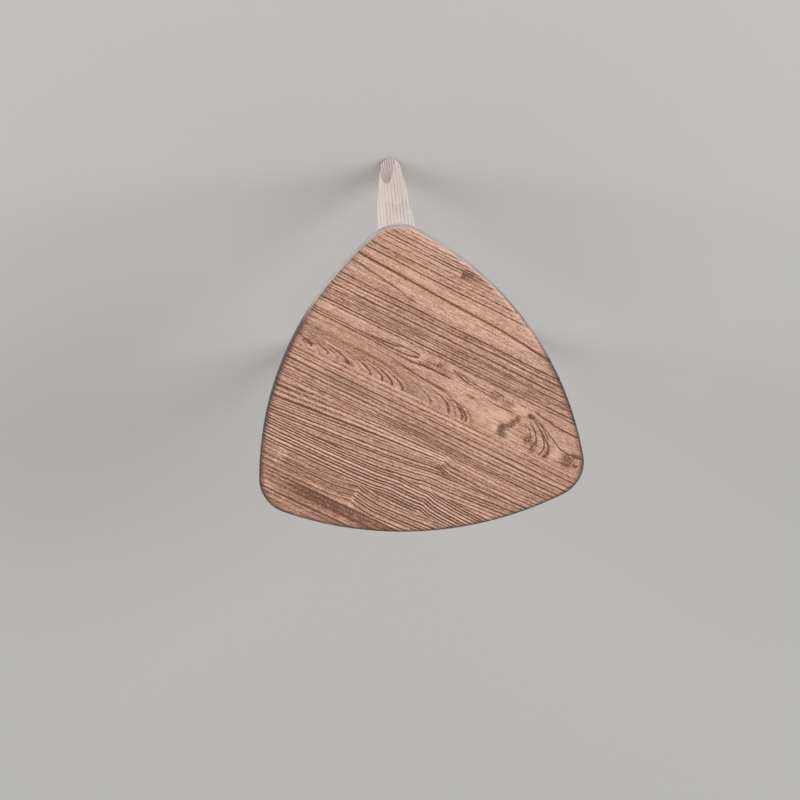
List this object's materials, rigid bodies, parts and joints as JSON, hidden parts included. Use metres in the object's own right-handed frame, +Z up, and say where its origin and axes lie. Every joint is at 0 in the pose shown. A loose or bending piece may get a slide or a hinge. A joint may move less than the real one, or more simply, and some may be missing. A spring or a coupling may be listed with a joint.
{
  "type": "drink table",
  "caption": "Small drink table with a rounded three-cornered, finger-jointed wood top on turned tapered legs.",
  "frame": {"origin": "middle of the bounding box's base, on the floor; the table's axis, from which the corners and legs are placed, is 21.9 mm towards -X and 2.4 mm towards +Y from it", "axes": "+Z up from the feet to the top; +X along the staves, 2 degrees from the right corner and its leg; the other two corners and legs lie at 123.8 and 241.7 degrees from +X"},
  "size_m": [0.2998, 0.2976, 0.4],
  "materials": {
    "top_wood": "brushed softwood, stained red-brown, satin lacquer",
    "leg_wood": "limed pale wood, satin lacquer",
    "insert_metal": "plain machined brass",
    "bolt_steel": "bright zinc plate",
    "pad_felt": "pressed felt"
  },
  "bodies": {
    "root": {"top_stave_01": "top_wood", "top_stave_02_a": "top_wood", "top_stave_02_b": "top_wood", "top_stave_02_c": "top_wood", "top_stave_03_a": "top_wood", "top_stave_03_b": "top_wood", "top_stave_04": "top_wood", "top_stave_05_a": "top_wood", "top_stave_05_b": "top_wood", "top_stave_06": "top_wood", "top_stave_07": "top_wood", "top_stave_08_a": "top_wood", "top_stave_08_b": "top_wood", "top_stave_09": "top_wood", "top_stave_10_a": "top_wood", "top_stave_10_b": "top_wood", "leg_right": "leg_wood", "leg_back_left": "leg_wood", "leg_front_left": "leg_wood", "threaded_insert_right": "insert_metal", "threaded_insert_back_left": "insert_metal", "threaded_insert_front_left": "insert_metal", "hanger_bolt_right": "bolt_steel", "hanger_bolt_back_left": "bolt_steel", "hanger_bolt_front_left": "bolt_steel", "felt_pad_right": "pad_felt", "felt_pad_back_left": "pad_felt", "felt_pad_front_left": "pad_felt"}
  },
  "joints": []
}
